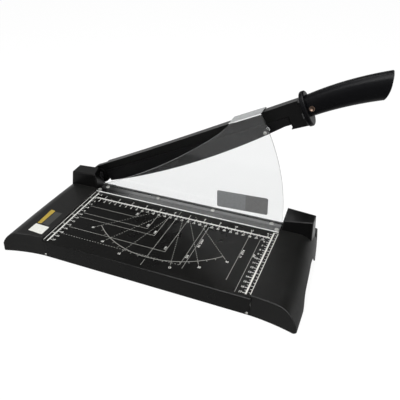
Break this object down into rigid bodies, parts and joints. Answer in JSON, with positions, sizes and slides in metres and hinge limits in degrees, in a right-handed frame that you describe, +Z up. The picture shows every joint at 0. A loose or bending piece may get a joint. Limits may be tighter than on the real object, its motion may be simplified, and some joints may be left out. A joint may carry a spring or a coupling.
{
  "type": "guillotine paper cutter",
  "caption": "Desk guillotine paper cutter: ruled table, hinged blade arm with handle, clear fan guard and lifting clamp bar between two moulded end caps.",
  "frame": {"origin": "bottom centre of the whole machine's box, on the desk, in the open pose", "axes": "+X along the cut from the pivot end to the handle end, +Y away from the user, +Z up"},
  "size_m": [0.5016, 0.2226, 0.2782],
  "materials": {
    "moulded_black": "fine matte moulded ABS, near black",
    "block_black": "smoother moulded ABS, satin black",
    "table_enamel": "black textured powder coat with white printed scales",
    "arm_enamel": "semi-matte black powder coat",
    "blade_steel": "ground hardened steel",
    "blade_black": "black fluoropolymer coat on hardened steel, ground at the edge",
    "zinc_steel": "bright zinc plate",
    "bronze": "dull bronze-coloured plated steel",
    "sintered_bronze": "sintered bearing bronze",
    "handle_black": "satin black moulded nylon",
    "clear_sheet": "clear acrylic sheet",
    "clamp_sheet": "clear acrylic bar with a polished front edge",
    "foot_rubber": "black rubber"
  },
  "bodies": {
    "base": {"table": "table_enamel", "left_end_cap": "moulded_black", "right_end_cap": "moulded_black", "pivot_housing": "block_black", "landing_block": "block_black", "fixed_blade": "blade_steel", "fixed_blade_screws": "zinc_steel", "skirt_rivets": "zinc_steel", "left_side_rail": "zinc_steel", "right_side_rail": "zinc_steel", "table_stiffener": "zinc_steel", "end_cap_screws": "zinc_steel", "rubber_feet": "foot_rubber", "foot_screws": "zinc_steel", "pivot_bracket": "table_enamel", "bracket_screws": "zinc_steel", "thrust_washer": "handle_black", "spring_washer": "blade_steel", "pivot_nut": "zinc_steel", "pivot_bolt": "zinc_steel", "housing_screws": "zinc_steel", "landing_block_screws": "zinc_steel", "landing_bumper": "foot_rubber"},
    "arm": {"blade_arm": "arm_enamel", "upper_blade": "blade_black", "blade_screws": "zinc_steel", "arm_bush": "sintered_bronze", "handle_front_shell": "handle_black", "handle_back_shell": "handle_black", "handle_rivet": "bronze", "handle_screw": "zinc_steel"},
    "clamp": {"clamp_bar": "clamp_sheet", "guard": "clear_sheet", "clamp_posts": "zinc_steel", "post_clips": "zinc_steel", "guard_screws": "zinc_steel", "guard_button": "clear_sheet", "guard_button_screw": "zinc_steel"}
  },
  "joints": [
    {"name": "arm_hinge", "type": "hinge", "parent": "base", "child": "arm", "pos_m": [-0.18785, 0.0816, 0.0455], "axis": [0, 1, 0], "range_deg": [0, 27.5]},
    {"name": "clamp_lift", "type": "slide", "parent": "base", "child": "clamp", "axis": [0, 0, 1], "range_m": [0, 0.004]}
  ]
}
